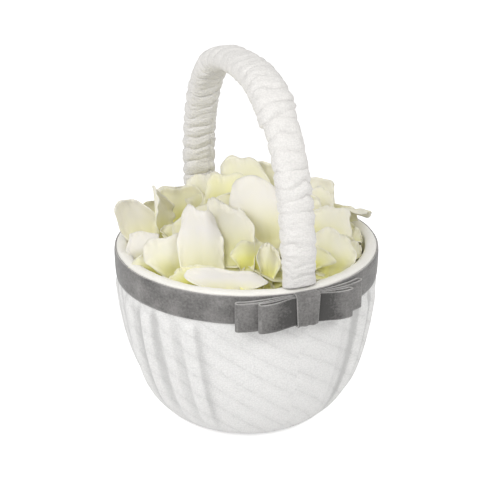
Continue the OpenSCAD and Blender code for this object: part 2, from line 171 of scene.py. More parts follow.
def rough_round(angle, count, height):
    """Smooth unevenness round the basket, about count waves in a turn, that closes on itself."""
    x, y = turned(count / 6, angle)
    return rough(x, y, height)


def cloth(name, grid, closed):
    """Mesh of a grid of spots, each x, y, z and its place across and along the weave.

    A closed grid has its last column joined to the first.
    """
    builder = bmesh.new()
    weave = builder.loops.layers.uv.new("weave")
    corners = []
    for row in grid:
        used = row[:-1] if closed else row
        line = [builder.verts.new([MM * c for c in spot[:3]]) for spot in used]
        corners.append(line + line[:1] if closed else line)
    for j in range(len(grid) - 1):
        for i in range(len(grid[0]) - 1):
            cell = [(j, i), (j, i + 1), (j + 1, i + 1), (j + 1, i)]
            face = builder.faces.new([corners[b][a] for b, a in cell])
            face.smooth = True
            for loop, (b, a) in zip(face.loops, cell):
                loop[weave].uv = (MM * grid[b][a][3], MM * grid[b][a][4])
    mesh = bpy.data.meshes.new(name)
    builder.to_mesh(mesh)
    builder.free()
    piece = bpy.data.objects.new(name, mesh)
    bpy.context.scene.collection.objects.link(piece)
    return piece


def thicken(piece, thickness):
    """Give a sheet its thickness, half to each side, and point its normals outward."""
    bpy.ops.object.select_all(action="DESELECT")
    bpy.context.view_layer.objects.active = piece
    piece.select_set(True)
    shell = piece.modifiers.new("thickness", "SOLIDIFY")
    shell.thickness = MM * thickness
    shell.offset = 0
    bpy.ops.object.modifier_apply(modifier=shell.name)
    bpy.ops.object.mode_set(mode="EDIT")
    bpy.ops.mesh.select_all(action="SELECT")
    bpy.ops.mesh.normals_make_consistent(inside=False)
    bpy.ops.object.mode_set(mode="OBJECT")


wadding_grid = []
for step in range(wadding_rows + 1):
    radius, height = bowl_point(sum(wadding_depths) / 2, 90 * step / wadding_rows)
    row = []
    for column in range(wadding_columns + 1):
        angle = 360 * column / wadding_columns
        lump = lump_height * rough_round(angle, lump_count, 0.1 * height)
        row.append((*turned(radius + lump, angle), height, wall_weave_per_degree * angle, height))
    wadding_grid.append(row)
wadding = cloth("wadding_fill", wadding_grid, closed=True)
thicken(wadding, wadding_depths[1] - wadding_depths[0])
fill_paint = speckled_paint("polyester_fill", fill_dark, fill_light, fill_grain, fill_depth)
dress(wadding, fill_paint)
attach(wadding, "basket")
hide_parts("wadding")

# Outer cover
# White matelasse cotton stretched over the bowl, pleated where it turns the sides and smooth in the
# front and back panels, with diagonal quilting lines and a fine dotted weave; painted shade greys the
# pleats' valleys and the sunk lines and dots.
# Each pleat: angle at the rim, drift towards the base, share of the height, width before and after it.

pleats = (
    (-88, 2, 0.6, 3, 7),
    (-73, 1, 0.8, 3, 6),
    (-62, 4, 0.5, 2.6, 5),
    (-51, 7, 0.75, 5, 2.4),
    (29, -1, -0.9, 4, 3),
    (38, -2, 1, 3, 4),
    (51, -3, 0.8, 3, 5),
    (68, -2, 0.6, 4, 7),
)
ribbon_width = 19.5
pleat_height = 4.0
pleat_dip = 0.2
pleat_sharpness = 1.5
pleat_top = rim_height - ribbon_width - 1
pleat_top_fade = 8
pleat_base_fade = 36
panel_middles = (-10, 170)
panel_half = 30
panel_fade = 20
crease_height = 1.1
crease_count = 70
crease_base_fade = 60
cover_thickness = 1.0
cover_girth = 471
cover_weave_per_height = 1.1
cover_rows = 90
cover_columns = 480
turned_in_edge = ((40.8, 0.6), (43, 0.6))
valley_reach = 5
valley_shade = 0.55
cover_white = (0.89, 0.883, 0.87)
sunk_shade = 0.65
dots_in_metre = 900
dot_depth = 0.55
patches_in_metre = 90
line_sharpness = 0.11
weave_depth = 0.6


def ease(x):
    """Smooth step from 0 to 1."""
    x = min(1.0, max(0.0, x))
    return x * x * (3 - 2 * x)


def wrapped(angle):
    """The same angle between -180 and 180."""
    return (angle + 180) % 360 - 180


def pleat_rise(angle, height):
    """Height of the pleats at a place on the cover; those of the back are the front's, half a turn on."""
    total = 0.0
    for side in (0, 180):
        for start, drift, share, before, after in pleats:
            off = wrapped(angle + side - start - drift * (1 - height / rim_height))
            width = before if off < 0 else after
            total += share * math.exp(-abs(off / width) ** pleat_sharpness)
    fade = ease((pleat_top - height) / pleat_top_fade) * ease(height / pleat_base_fade)
    return pleat_height * fade * max(-pleat_dip, total)


def crease_rise(angle, height):
    """Small creases that run down from the ribbon on both sides of the smooth panels."""
    from_panel = min(abs(wrapped(angle - middle)) for middle in panel_middles)
    strength = ease((from_panel - panel_half) / panel_fade) * ease(height / crease_base_fade)
    return crease_height * strength * rough_round(angle, crease_count, 0.012 * height)


def keep_tint_and_shade(piece, tints_and_shades):
    """Keep one value for each corner of the grid, for the material to read: painted shade, and on the
    petals their own colouring as well.
    """
    layer = piece.data.color_attributes.new(name="tint", type="FLOAT_COLOR", domain="POINT")
    for item, tint in zip(layer.data, tints_and_shades):
        item.color = (tint, tint, tint, 1)


def tint_and_shade_of(paint):
    """The value kept with a piece, painted shade and colouring, 0 where there is none."""
    return add(paint, "ShaderNodeAttribute", {}, attribute_name="tint").outputs["Fac"]


def combine(owner, operation, first, second=0.0):
    """Sum, product or the like of two numbers or node outputs."""
    return add(owner, "ShaderNodeMath", {0: first, 1: second}, operation=operation).outputs[0]


def quilted_paint(name, color, spacing, slants, line_depth):
    """White cotton with a dotted weave and quilting lines sunk at the slants, greyed by painted shade in
    the sunk dots and lines and where shade was kept with the piece.
    """
    paint, shader = new_paint(name, color, roughness=0.9)
    shader.inputs["Sheen Weight"].default_value = 0.1
    spot = place_on(paint, "UV")
    dots = add(paint, "ShaderNodeTexVoronoi", {
        "Vector": spot, "Scale": dots_in_metre, "Randomness": 0.7})
    patches = add(paint, "ShaderNodeTexNoise", {
        "Vector": spot, "Scale": patches_in_metre, "Detail": 3})
    sunk = combine(paint, "MULTIPLY", dots.outputs["Distance"], dot_depth)
    for slant in slants:
        turn = add(paint, "ShaderNodeMapping", {
            "Vector": spot, "Rotation": (0, 0, math.radians(slant))})
        bands = add(paint, "ShaderNodeTexWave", {
            "Vector": turn.outputs["Vector"],
            "Scale": math.pi / (10 * MM * spacing),
            "Distortion": 1.2,
            "Detail": 1,
            "Detail Scale": 0.6})
        puff = combine(paint, "POWER", bands.outputs["Fac"], line_sharpness)
        line = combine(paint, "SUBTRACT", 1.0, puff)
        broken = combine(paint, "MULTIPLY", line, patches.outputs["Fac"])
        deep = combine(paint, "MULTIPLY", broken, line_depth)
        sunk = combine(paint, "ADD", deep, sunk)
    # Painted shade: the kept shade and the sunk dots and lines grey the cotton towards its shaded colour.
    grey = combine(paint, "ADD", tint_and_shade_of(paint), sunk)
    color_between(paint, shader, grey, color, [sunk_shade * part for part in color], start=0.1)
    raise_by(paint, shader, combine(paint, "MULTIPLY", sunk, -1.0), weave_depth)
    return paint


cover_angles = [360 * i / cover_columns for i in range(cover_columns + 1)]
cover_weave = [cover_girth * i / cover_columns for i in range(cover_columns + 1)]
cover_grid = []
cover_painted_shade = []
for radius, height in turned_in_edge:
    row = []
    for angle, along in zip(cover_angles, cover_weave):
        row.append((*turned(radius, angle), height, along, radius - base_radius))
    cover_grid.append(row)
    cover_painted_shade += [0.0] * cover_columns
for j in range(cover_rows + 1):
    radius, height = bowl_point(cover_thickness / 2, 90 * (1 - j / cover_rows))
    rises = [pleat_rise(angle, height) + crease_rise(angle, height) for angle in cover_angles]
    row = []
    for angle, along, rise in zip(cover_angles, cover_weave, rises):
        row.append((*turned(radius + rise, angle), height, along, cover_weave_per_height * height))
    cover_grid.append(row)
    # Painted shade: each spot is greyed by how far it sits below the average of its neighbours on both
    # sides, so the pleats' valleys look shaded.
    for i in range(cover_columns):
        beside = rises[i - valley_reach] + rises[(i + valley_reach) % cover_columns]
        cover_painted_shade.append(min(1.0, max(0.0, valley_shade * (beside / 2 - rises[i]))))
cover = cloth("quilted_cover", cover_grid, closed=True)
keep_tint_and_shade(cover, cover_painted_shade)
thicken(cover, cover_thickness)
cover_paint = quilted_paint(
    "matelasse_cotton", cover_white, spacing=13, slants=(-50,), line_depth=0.75)
dress(cover, cover_paint)
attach(cover, "basket")
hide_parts("outer_cover")

# Lining
# Ivory satin over the wadding, rolled over the rim as a plump lip above the ribbon.
# One sheet from the ribbon's edge over the lip and down to the middle of the floor.

lining_depth = 7.9
lining_thickness = 0.8
lining_middle = lining_depth - lining_thickness / 2
lining_columns = 300
hem_in = 0.5
hem_drop = 2
lip_base = rim_height + 0.2
lip_half = lining_depth / 2 - lining_thickness / 2
lip_height = 1.4
lip_steps = 14
lip_reach = 6
lip_fade = 8
wall_steps = 40
floor_shares = (0.75, 0.5, 0.25, 0.02)
pucker_height = 0.45
pucker_count = 110
sag_depth = 0.7
sag_count = 18
satin_plain = (0.86, 0.85, 0.78)
satin_dark = (0.84, 0.82, 0.76)
satin_light = (0.9, 0.88, 0.83)
satin_threads = 900
satin_relief = 0.1

lining_path = [(rim_radius - hem_in, rim_height - hem_drop)]
for step in range(lip_steps + 1):
    turn = math.radians(180 * step / lip_steps)
    lining_path.append((
        rim_radius - lining_depth / 2 + lip_half * math.cos(turn),
        lip_base + lip_height * math.sin(turn)))
for step in range(1, wall_steps + 1):
    lining_path.append(bowl_point(lining_middle, 90 * step / wall_steps))
for share in floor_shares:
    lining_path.append((base_radius * share, lining_middle))

lining_grid = []
travelled = 0.0
for j, (radius, height) in enumerate(lining_path):
    if j:
        travelled += math.dist(lining_path[j], lining_path[j - 1])
    on_lip = ease((height - rim_height + lip_reach) / lip_fade)
    on_wall = ease(radius / base_radius - 0.5)
    row = []
    for i in range(lining_columns + 1):
        angle = 360 * i / lining_columns
        pucker = pucker_height * on_lip * rough_round(angle, pucker_count, 0.08 * travelled)
        sag = sag_depth * (1 - on_lip) * rough_round(angle, sag_count, 0.02 * height) * on_wall
        along = wall_weave_per_degree * angle
        row.append((*turned(radius - abs(sag), angle), height + pucker, along, travelled))
    lining_grid.append(row)
lining = cloth("satin_lining", lining_grid, closed=True)
thicken(lining, lining_thickness)
satin_paint, satin_shader = new_paint("ivory_satin", satin_plain, roughness=0.45)
satin_shader.inputs["Sheen Weight"].default_value = 0.2
satin_weave = add(satin_paint, "ShaderNodeTexNoise", {
    "Vector": place_on(satin_paint, "UV"), "Scale": satin_threads, "Detail": 3}).outputs["Fac"]
color_between(satin_paint, satin_shader, satin_weave, satin_dark, satin_light, start=0.3, end=0.7)
raise_by(satin_paint, satin_shader, satin_weave, satin_relief)
dress(lining, satin_paint)
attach(lining, "basket")
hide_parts("inner_lining")

# Ribbon round the rim
# Grey velvet ribbon, its selvedges lighter than the pile, with a painted highlight on them, glued on just
# below the lip.
# The ends meet behind the knot.

ribbon_thickness = 1.1
ribbon_gap = 0.4
ribbon_top = rim_height + 0.2
ribbon_rows = 14
ribbon_columns = 360
ribbon_weave_per_degree = 1.57
ribbon_end = 0.4
ripple_height = 0.25
ripple_count = 34
ripple_out = 0.2
selvedge_curl = 0.35
selvedge_highlight_sharpness = 40
selvedge_highlight_gain = 0.3
pile_plain = (0.2, 0.2, 0.2)
pile_dark = (0.057, 0.055, 0.053)
pile_light = (0.43, 0.417, 0.405)
pile_depth = 0.3


def bowl_radius(depth, height):
    """Radius at a height, a depth below the bowl's outside."""
    reach = (rim_height - height) / (rim_height - depth)
    return base_radius + (rim_radius - base_radius - depth) * math.sqrt(max(0.0, 1 - reach * reach))


def velvet_paint(name, width):
    """Grey pile with a soft sheen, darker in the painted shade kept with it, paler in a thin line along
    both edges: a lighter selvedge under a painted highlight.
    """
    paint, shader = new_paint(name, pile_plain, roughness=0.85)
    shader.inputs["Sheen Weight"].default_value = 0.45
    shader.inputs["Sheen Roughness"].default_value = 0.35
    spot = place_on(paint, "UV")
    across = add(paint, "ShaderNodeSeparateXYZ", {"Vector": spot}).outputs["Y"]
    # Painted highlight along both edges, over the lighter selvedge, less the painted shade kept by the
    # loops.
    off = combine(paint, "ABSOLUTE", combine(paint, "SUBTRACT", across, MM * width / 2))
    edge = combine(paint, "POWER", combine(paint, "MULTIPLY", off, 2 / (MM * width)), selvedge_highlight_sharpness)
    paler = combine(paint, "MULTIPLY", edge, selvedge_highlight_gain)
    paler = combine(paint, "SUBTRACT", paler, tint_and_shade_of(paint))
    nap = add(paint, "ShaderNodeTexNoise", {
        "Vector": spot, "Scale": 600, "Detail": 4, "Roughness": 0.75}).outputs["Fac"]
    shade = add(paint, "ShaderNodeTexNoise", {
        "Vector": spot, "Scale": 60, "Detail": 3}).outputs["Fac"]
    flecks = combine(paint, "MULTIPLY", combine(paint, "ADD", nap, shade), 0.5)
    total = combine(paint, "ADD", flecks, paler)
    color_between(paint, shader, total, pile_dark, pile_light, start=0.3, end=0.85)
    raise_by(paint, shader, nap, pile_depth)
    return paint


ribbon_grid = []
for j in range(ribbon_rows + 1):
    share = j / ribbon_rows
    height = ribbon_top - ribbon_width * (1 - share)
    curl = selvedge_curl * abs(2 * share - 1) ** 5
    row = []
    for i in range(ribbon_columns + 1):
        angle = ribbon_end + (360 - 2 * ribbon_end) * i / ribbon_columns
        ripple = ripple_height * rough_round(angle, ripple_count, share)
        radius = bowl_radius(-ribbon_gap - ribbon_thickness / 2, height) + ripple_out * ripple - curl
        along = ribbon_weave_per_degree * angle
        row.append((*turned(radius, angle), height + ripple, along, ribbon_width * share))
    ribbon_grid.append(row)
ribbon = cloth("velvet_ribbon", ribbon_grid, closed=False)
thicken(ribbon, ribbon_thickness)
ribbon_paint = velvet_paint("grey_velvet", ribbon_width)
dress(ribbon, ribbon_paint)
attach(ribbon, "basket")
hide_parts("ribbon_band")

# Bow loops
# Two closed loops of the same velvet, the short one on the long one, pinched flat beside the knot and
# darkened there by painted shade, and open at their ends, which sag a little, more so on the left.

back_loop_length = 45
front_loop_length = 31
back_left_sag = 2.6
front_left_sag = 1.4
right_sag = 1.2
loop_open = 3.6
opening_rate = 1.6
loop_slack = 0.2
pinch = ribbon_thickness + loop_slack
knot_in = rim_radius + 2 * ribbon_gap + ribbon_thickness
knot_width = 14.5
back_loop_radius = knot_in + 1.5 * ribbon_thickness + loop_slack
degrees_per_mm = 180 / (math.pi * back_loop_radius)
knot_half = knot_width / 2 * degrees_per_mm
back_half = back_loop_length * degrees_per_mm
loop_rows = 12
loop_steps = 70
end_turns = (60, 30, 0, -30, -60)
waist = 0.12
waist_reach = 1.5 * knot_half
# Painted shade on the loops beside the knot: its strength and how far out it reaches.
root_shade = 0.26
root_reach = 14


def loop_gap(angle, half):
    """Distance between the two layers of a loop."""
    opened = ease((abs(angle) - knot_half) / (half - knot_half) * opening_rate)
    return pinch + (loop_open - pinch) * opened


def loop_inner(angle, rides):
    """Radius of a loop's inner layer; the front loop rides on the back one."""
    lift = loop_gap(angle, back_half) + ribbon_thickness + ribbon_gap if rides else 0
    return back_loop_radius + lift


def loop_end(side, reach, half, rides):
    """Places round one end of a loop, side 1 at the right and -1 at the left."""
    angle = side * reach
    gap = loop_gap(angle, half)
    middle = turned(loop_inner(angle, rides) + gap / 2, angle)
    along = (side * math.cos(math.radians(angle)), side * math.sin(math.radians(angle)))
    out = turned(1, angle)
    places = []
    for turn in end_turns:
        end = gap / 2 * math.cos(math.radians(turn))
        rise = side * gap / 2 * math.sin(math.radians(turn))
        x = middle[0] + end * along[0] + rise * out[0]
        y = middle[1] + end * along[1] + rise * out[1]
        places.append(((x, y), angle))
    return places


def loop_line(half, rides):
    """Places round a loop, seen from above, each with its angle from the knot."""
    reach = half - loop_open / 2 * degrees_per_mm
    angles = [reach * (2 * i / loop_steps - 1) for i in range(loop_steps + 1)]
    line = [(turned(loop_inner(a, rides) + loop_gap(a, half), a), a) for a in angles]
    line += loop_end(1, reach, half, rides)
    line += [(turned(loop_inner(a, rides), a), a) for a in reversed(angles)]
    line += loop_end(-1, reach, half, rides)
    return line + line[:1]


def root_painted_shade(angle):
    """Painted shade on a loop, which darkens it towards the knot."""
    return root_shade * (1 - ease((abs(angle) - knot_half) / root_reach))


def bow_loop(name, node, length, rides, left_sag):
    """One loop of the bow, its length counted from the middle of the knot to either end."""
    half = length * degrees_per_mm
    line = loop_line(half, rides)
    grid = []
    tints_and_shades = []
    for j in range(loop_rows + 1):
        share = j / loop_rows
        travelled = 0.0
        row = []
        for k, ((x, y), angle) in enumerate(line):
            if k:
                travelled += math.dist((x, y), line[k - 1][0])
            spread = ease(abs(angle) / half)
            narrow = waist * (1 - ease(abs(angle) / waist_reach))
            sag = (left_sag if angle < 0 else right_sag) * spread * spread
            height = ribbon_top - ribbon_width * (0.5 + (0.5 - share) * (1 - narrow)) - sag
            row.append((x, y, height, travelled, ribbon_width * share))
        grid.append(row)
        tints_and_shades += [root_painted_shade(angle) for place, angle in line[:-1]]
    loop = cloth(name, grid, closed=True)
    keep_tint_and_shade(loop, tints_and_shades)
    thicken(loop, ribbon_thickness)
    dress(loop, ribbon_paint)
    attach(loop, "basket")
    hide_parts(node)


bow_loop("bow_long_loop", "bow_back_loop", back_loop_length, rides=False, left_sag=back_left_sag)
bow_loop("bow_short_loop", "bow_front_loop", front_loop_length, rides=True, left_sag=front_left_sag)

# Knot
# A short length of the velvet wrapped round the middle of the bow, with shallow folds along it.
# A closed band whose edges curl out a little.

knot_past = 0.9
knot_behind = 0.5
knot_before = 1.7
stack_slack = 0.4
knot_stack = 2 * pinch + 2 * ribbon_thickness + ribbon_gap + stack_slack
knot_low = (knot_in + knot_behind, ribbon_top - ribbon_width - knot_past)
knot_high = (knot_in + knot_stack + knot_before, ribbon_top + knot_past)
knot_corner = 1.5
knot_corner_step = 15
knot_columns = 24
fold_height = 0.45
fold_waves = 2.5
fold_slant = 8
flare_share = 0.05
flare_turn = 10

knot_line = []
for right, top, start in ((1, 1, 0), (0, 1, 90), (0, 0, 180), (1, 0, 270)):
    middle_r = knot_high[0] - knot_corner if right else knot_low[0] + knot_corner
    middle_z = knot_high[1] - knot_corner if top else knot_low[1] + knot_corner
    for turn in range(start, start + 91, knot_corner_step):
        knot_line.append((
            middle_r + knot_corner * math.cos(math.radians(turn)),
            middle_z + knot_corner * math.sin(math.radians(turn))))
knot_line.append(knot_line[0])

knot_grid = []
for i in range(knot_columns + 1):
    share = i / knot_columns
    travelled = 0.0
    row = []
    for k, (radius, height) in enumerate(knot_line):
        if k:
            travelled += math.dist(knot_line[k], knot_line[k - 1])
        front = ease((radius - knot_low[0]) / (knot_high[0] - knot_low[0]))
        fold_turn = 360 * fold_waves * share + fold_slant * height
        fold = front * fold_height * math.sin(math.radians(fold_turn))
        flare = 1 + flare_share * front * math.cos(math.radians(flare_turn * (height - ribbon_top)))
        angle = knot_half * (2 * share - 1) * flare
        row.append((*turned(radius + fold, angle), height, travelled, knot_width * share))
    knot_grid.append(row)
knot = cloth("bow_band", knot_grid, closed=True)
thicken(knot, ribbon_thickness)
dress(knot, velvet_paint("grey_velvet_knot", knot_width))
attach(knot, "basket")
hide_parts("bow_knot")

# Handle strip and rivets
# Bent strip that carries the handle, riveted inside the bowl's wall and hidden by the sleeve.
# Both solids stay: the strip in a tan like the bowl's, the rivets in dull aluminium.

strip_dark = (0.42, 0.33, 0.2)
strip_light = (0.55, 0.45, 0.3)
strip_grain = 4
strip_depth = 0.2
rivet_plain = (0.6, 0.6, 0.62)
rivet_dark = (0.5, 0.5, 0.52)
rivet_light = (0.7, 0.7, 0.72)

strip_paint = speckled_paint("bent_strip", strip_dark, strip_light, strip_grain, strip_depth)
dress(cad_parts["handle_core"], strip_paint)
rivet_paint, rivet_shader = new_paint("dull_aluminium", rivet_plain, roughness=0.4)
rivet_shader.inputs["Metallic"].default_value = 1.0
rivet_brush = add(rivet_paint, "ShaderNodeTexNoise", {
    "Vector": place_on(rivet_paint, "Object"), "Scale": 900, "Detail": 3}).outputs["Fac"]
color_between(rivet_paint, rivet_shader, rivet_brush, rivet_dark, rivet_light, start=0.3, end=0.7)
dress(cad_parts["handle_rivets"], rivet_paint)

# Handle wadding
# Fill wound round the strip, which makes the sleeve plump; only the sleeve shows.
# A tube of rounded sections along the arch.

arch_height = 124
arch_power = 2.6
arch_steps = 720
handle_lean = 0.06
foot_y = 83.7
sleeve_start = 2.8
swell_length = 26
section_power = 0.8
padding_ends = (16.5, 6.5)
padding_middle = (17.5, 10)
padding_thickness = 1.6
padding_rings = 120
padding_sides = 24
padding_weave_per_side = 2
padding_lump = 0.25


def bent(x, power):
    """A power that keeps the sign."""
    return math.copysign(abs(x) ** power, x)


arch_line = []
arch_lengths = [0.0]
for step in range(arch_steps + 1):
    turn = math.radians(180 * step / arch_steps)
    rise = arch_height * max(0.0, math.sin(turn)) ** (2 / arch_power)
    y = -foot_y * bent(math.cos(turn), 2 / arch_power) + handle_lean * rise
    arch_line.append((y, rim_height + rise))
    if step:
        arch_lengths.append(arch_lengths[-1] + math.dist(arch_line[-1], arch_line[-2]))
arch_length = arch_lengths[-1]


def arch_at(s):
    """Place in the handle's plane at a length along the arch, from the near foot."""
    k = min(max(bisect.bisect(arch_lengths, s), 1), len(arch_lengths) - 1)
    share = (s - arch_lengths[k - 1]) / (arch_lengths[k] - arch_lengths[k - 1])
    (y0, z0), (y1, z1) = arch_line[k - 1], arch_line[k]
    return y0 + (y1 - y0) * share, z0 + (z1 - z0) * share


def arch_out(s):
    """Direction out of the arch, away from the basket's middle."""
    (y0, z0), (y1, z1) = arch_at(s - 1.5), arch_at(s + 1.5)
    length = math.hypot(y1 - y0, z1 - z0)
    return -(z1 - z0) / length, (y1 - y0) / length


def from_foot(s):
    """Length along the sleeve from the nearer of its two ends."""
    return min(s, arch_length - s) - sleeve_start


def section_at(s, at_ends, at_middle):
    """Size of the section, which swells from that at the ends to that in the middle."""
    share = ease(from_foot(s) / swell_length)
    return [x + (y - x) * share for x, y in zip(at_ends, at_middle)]


def around_arch(s, size, turn, rise):
    """A point of a rounded section of the handle, raised out of it by rise."""
    across = (size[0] / 2 + rise) * bent(math.cos(turn), section_power)
    out = (size[1] / 2 + rise) * bent(math.sin(turn), section_power)
    y, z = arch_at(s)
    out_y, out_z = arch_out(s)
    return across, y + out * out_y, z + out * out_z


padding_grid = []
for j in range(padding_rings + 1):
    s = sleeve_start + (arch_length - 2 * sleeve_start) * j / padding_rings
    size = section_at(s, padding_ends, padding_middle)
    row = []
    for i in range(padding_sides + 1):
        turn = math.radians(360 * i / padding_sides)
        lump = padding_lump * rough(0.12 * s, math.cos(turn), math.sin(turn))
        row.append((*around_arch(s, size, turn, lump), padding_weave_per_side * i, s))
    padding_grid.append(row)
padding = cloth("handle_fill", padding_grid, closed=True)
thicken(padding, padding_thickness)
dress(padding, fill_paint)
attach(padding, "basket")
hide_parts("handle_padding")

# Ruched sleeve
# Tube of the matelasse cotton pushed up along the handle: puffs between sharp, wandering gathers
# greyed by painted shade in their valleys, a seam along the inside and, on the near leg, the slanting
# edge of a wider upper part.

sleeve_ends = (22.0, 10.4)
sleeve_middle = (23.0, 16.0)
sleeve_thickness = 0.8
sleeve_inset = 0.4
sleeve_fade = 6
sleeve_girth = 66
sleeve_weave_per_length = 1.25
sleeve_rings = 480
sleeve_sides = 64
gather_spacing = 9.8
gather_depth = 2.1
gather_wander = 0.5
gather_waver = 0.3
gather_shade = 0.5
shade_below = 0.6
puff_power = 0.45
puff_level = 0.8
usual_strength = 0.62
strength_change = 1.2
least_strength = 0.12
fine_height = 0.3
seam_turn = -62
seam_depth = 0.9
seam_width = 7
cuff_place = 111
cuff_width = 1.9
cuff_slant = 4
cuff_edge = 2
cuff_fade = 75
# A little darker and warmer than the cover's cotton: partly the sleeve's own creamier colour, partly
# painted shade that tones down its lit top.
sleeve_white = (0.855, 0.835, 0.808)


def gather_rise(s, degrees):
    """Height and painted shade of puffs and the valleys between them, bent differently all round the
    sleeve.
    """
    x, y = turned(0.6, degrees)
    place = s / gather_spacing
    place += gather_wander * rough(0.03 * s, x, y)
    place += gather_waver * rough(0.13 * s, 2 * x, 2 * y)
    puff = abs(math.sin(math.pi * place)) ** puff_power
    strength = usual_strength + strength_change * rough(0.06 * s + 7, 1.4 * x, 1.4 * y)
    strength = max(least_strength, strength)
    fine = fine_height * math.sin(5 * math.pi * place) * (0.5 + rough(0.05 * s, 3 * x, 3 * y))
    seam = -seam_depth * math.exp(-(wrapped(degrees - seam_turn) / seam_width) ** 2)
    rise = gather_depth * strength * (puff - puff_level) + fine + seam
    return rise, gather_shade * strength * max(0.0, shade_below - puff)


def cuff_rise(s, degrees):
    """How far the upper part of the sleeve stands out beyond its edge on the near leg."""
    past = s - cuff_place - cuff_slant * math.cos(math.radians(degrees))
    return cuff_width * ease(past / cuff_edge) * (1 - ease(past / cuff_fade))


sleeve_grid = []
sleeve_painted_shade = []
for j in range(sleeve_rings + 1):
    s = sleeve_start + (arch_length - 2 * sleeve_start) * j / sleeve_rings
    size = section_at(s, sleeve_ends, sleeve_middle)
    fade = ease(from_foot(s) / sleeve_fade)
    row = []
    for i in range(sleeve_sides + 1):
        degrees = 360 * i / sleeve_sides
        rise, shade = gather_rise(s, degrees)
        rise = fade * (rise + cuff_rise(s, degrees) - sleeve_inset)
        if i < sleeve_sides:
            sleeve_painted_shade.append(min(1.0, shade))
        spot = around_arch(s, size, math.radians(degrees), rise)
        row.append((*spot, sleeve_girth * i / sleeve_sides, sleeve_weave_per_length * s))
    sleeve_grid.append(row)
sleeve = cloth("ruched_sleeve", sleeve_grid, closed=True)
keep_tint_and_shade(sleeve, sleeve_painted_shade)
thicken(sleeve, sleeve_thickness)
sleeve_paint = quilted_paint(
    "matelasse_sleeve", sleeve_white, spacing=9, slants=(48, -48), line_depth=0.2)
dress(sleeve, sleeve_paint)
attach(sleeve, "basket")
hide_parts("handle_sleeve")

# Petals on the heap
# Silk rose petals, ivory at the rim and yellow-green towards the base, with thin ruffled edges; the
# yellow-green is partly their own colour and partly a painted glow and shade of light through and
# between them, deepest in the heap.
# Each row: base X and Y; tip X, Y and height over the rim; width; taper (1 a fan, -1 a spear); turn
# of its face; how far its edges, belly and tip stand forward; colouring with painted shade. X is to the
# viewer's right and Y away, before the heap is turned.

Petal = namedtuple("Petal", "base_x base_y tip_x tip_y tip_rise width taper turn cup belly lean tint")
petals = (
    Petal(-13, -74, -12, -65, 9, 46, 0.4, 0, -3, 2, -3, -0.1),
    Petal(14, -61, 15, -49, 18, 14, 0, 0, 3, 3, 2, 0.3),
    Petal(-46, -50, -52, -38, 20, 34, 0.3, 0, -3, 3, -3, 0.2),
    Petal(-28, -56, -32, -28, 38, 28, -0.6, 6, -3, 2, -4, 0.0),
    Petal(-5, -50, -15, -16, 37, 28, -0.3, -4, -2, 2, -2, 0.15),
    Petal(-64, -24, -70, -16, 14, 23, 0, 0, -4, 3, -2, -0.2),
    Petal(54, -42, 58, -30, 21, 30, 0, 6, -4, 3, -3, 0.25),
    Petal(-46, -18, -44, -8, 15, 24, 0.4, 0, 4, -2, -3, 0.4),
    Petal(-68, -2, -79, 6, 27, 25, 0.5, 10, 5, -3, 3, 0.1),
    Petal(-56, -4, -62, 4, 37, 22, 0, 65, 5, 0, 0, 0.25),
    Petal(-8, -2, -26, 6, 28, 34, 0.5, 0, 3, 2, -3, 0.4),
    Petal(14, -26, 9, -3, 47, 40, 0.1, 0, -3, 4, -3, 0.0),
    Petal(50, -18, 58, -4, 28, 32, 0, 8, -4, 3, -4, 0.25),
    Petal(-46, 12, -46, 24, 31, 30, 0.4, 0, 5, -3, -2, 0.45),
    Petal(44, 14, 48, 24, 30, 24, 0.3, 0, -4, 3, -3, 0.3),
    Petal(-26, 19, -30, 35, 39, 26, 0.3, 0, -4, 4, -4, 0.3),
    Petal(1, 28, -5, 46, 44, 32, 0.4, 0, -4, 4, -4, 0.4),
    Petal(20, 44, 15, 58, 38, 30, 0.4, 0, -4, 3, 3, 0.3),
    Petal(56, 28, 83, 30, 14, 24, 0.6, 50, 0, -4, 2, 0.3),
    Petal(68, 2, 73, 0, 5, 18, 0, 0, -2, 2, 1, 0.3),
    Petal(38, 46, 46, 58, 24, 36, 0.3, 0, -4, 3, 3, 0.2),
    Petal(-42, 42, -50, 50, 22, 32, 0.3, 0, -5, 3, 3, 0.2),
)
heap_turn = math.radians(-24)
petal_thickness = 0.4
petal_rows = 34
petal_columns = 28
bed_edge = rim_height - 7
bed_crown = 19
bed_radius = bowl_radius(lining_depth, bed_edge) - 0.4
petal_hidden = 14
petal_clear = 0.7
petal_end = 0.99
petal_spread = 1.15
widest_at = 0.7
side_uneven = 0.22
tip_uneven = 0.16
tip_round = 0.1
tip_corner = 0.12
lean_slant = 0.02
most_slant = 0.25
broad_wave = 2.2
loose_wave = 2.4
edge_curl = 2.0
edge_ruffle = 2.8
edge_crinkle = 2.2
base_cup = 0.3
crease_depth = 0.4
crease_width = 0.15
# Yellow-green at a petal's foot, its own colour with a painted glow over it, and how far up it reaches.
foot_tint_and_glow = 0.6
foot_reach = 0.75
edge_fade = 0.5
tint_uneven = 0.12
# The colours run from ivory through cream to a bright yellow-green, the last standing partly for a
# painted glow and shade deep among the petals.
petal_plain = (0.88, 0.87, 0.74)
petal_ivory = (0.88, 0.84, 0.75)
petal_cream = (0.87, 0.835, 0.52)
petal_green = (0.87, 0.84, 0.22)
vein_depth = 0.06


def bed_top(x, y):
    """Height of the dome of packed petals."""
    return bed_edge + bed_crown * (1 - (x * x + y * y) / bed_radius ** 2)


def petal_start(taper):
    """Width at a petal's base as a share of its greatest."""
    return 0.6 - 0.4 * taper


def petal_outline(taper, v):
    """Half width along a petal as a share of its greatest."""
    start = petal_start(taper)
    grown = start + (1 - start) * math.sin(math.radians(90 * min(1, max(-0.5, v / widest_at))))
    return grown * (1 - (0.2 - 0.2 * taper) * ease(2 * v - 1))


